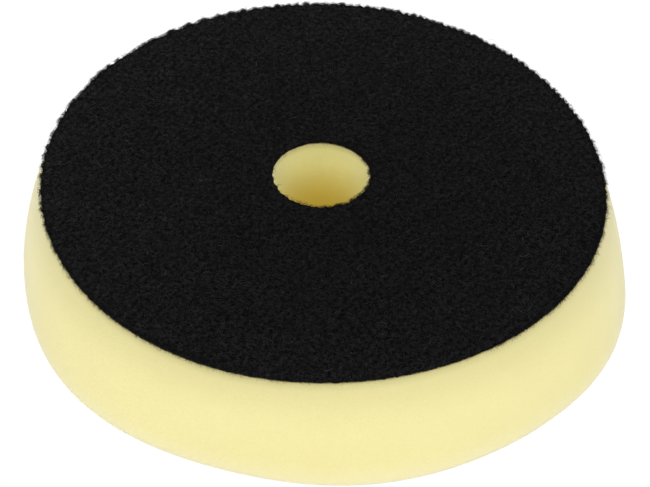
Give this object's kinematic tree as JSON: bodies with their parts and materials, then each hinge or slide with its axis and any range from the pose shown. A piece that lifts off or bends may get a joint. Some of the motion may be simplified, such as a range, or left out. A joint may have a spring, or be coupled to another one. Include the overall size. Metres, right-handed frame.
{
  "type": "polishing pad",
  "caption": "Round conical foam polishing pad with a black loop-pile fastening back and a centring hole, for a rotary or dual-action polisher.",
  "frame": {"origin": "on the axis of the centring hole, at the working face on which the pad lies", "axes": "+Z along the axis of the centring hole, from the working face to the fastening back"},
  "size_m": [0.165, 0.165, 0.0315],
  "materials": {
    "foam": "matte",
    "adhesive": "satin",
    "ground_cloth": "matte",
    "pile": "matte"
  },
  "bodies": {
    "root": {"foam_body": "foam", "adhesive_film": "adhesive", "backing_cloth": "ground_cloth", "loop_pile": "pile"}
  },
  "joints": []
}
